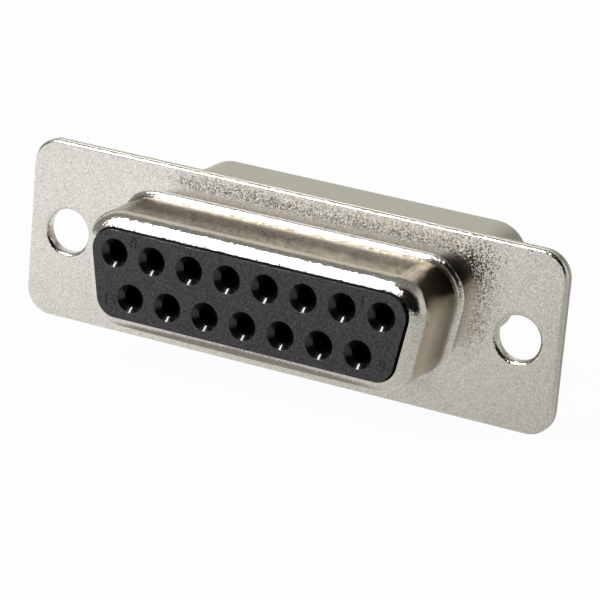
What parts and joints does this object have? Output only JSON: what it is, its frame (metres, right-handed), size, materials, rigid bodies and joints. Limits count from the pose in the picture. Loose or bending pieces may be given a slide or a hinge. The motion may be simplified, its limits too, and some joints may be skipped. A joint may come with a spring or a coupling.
{
  "type": "d-sub connector",
  "caption": "D-subminiature socket connector with a tinned steel shell, a flat mounting flange, a black insulator face with rows of pin entries and a deep rear shell.",
  "frame": {"origin": "midway between the two mounting holes, on the front plane of the flange", "axes": "+X along the contact rows, to the right as the plug sees it; -Y out of the mating face, so the plug arrives along +Y and the wires leave along +Y; +Z across the rows, towards the wide side of the D"},
  "size_m": [0.0392, 0.0172, 0.0124],
  "materials": {
    "tinned_steel_front": "matt tin plate with a fine grain on the drawn steel",
    "tinned_steel_rear": "smooth satin tin plate",
    "black_insulator": "moulded glass-filled plastic, low sheen",
    "plated_contact": "thin gold plate over turned copper alloy"
  },
  "bodies": {
    "root": {"front_shell": "tinned_steel_front", "rear_shell": "tinned_steel_rear", "front_insulator": "black_insulator", "rear_insulator": "black_insulator", "contact_01": "plated_contact", "contact_02": "plated_contact", "contact_03": "plated_contact", "contact_04": "plated_contact", "contact_05": "plated_contact", "contact_06": "plated_contact", "contact_07": "plated_contact", "contact_08": "plated_contact", "contact_09": "plated_contact", "contact_10": "plated_contact", "contact_11": "plated_contact", "contact_12": "plated_contact", "contact_13": "plated_contact", "contact_14": "plated_contact", "contact_15": "plated_contact"}
  },
  "joints": []
}
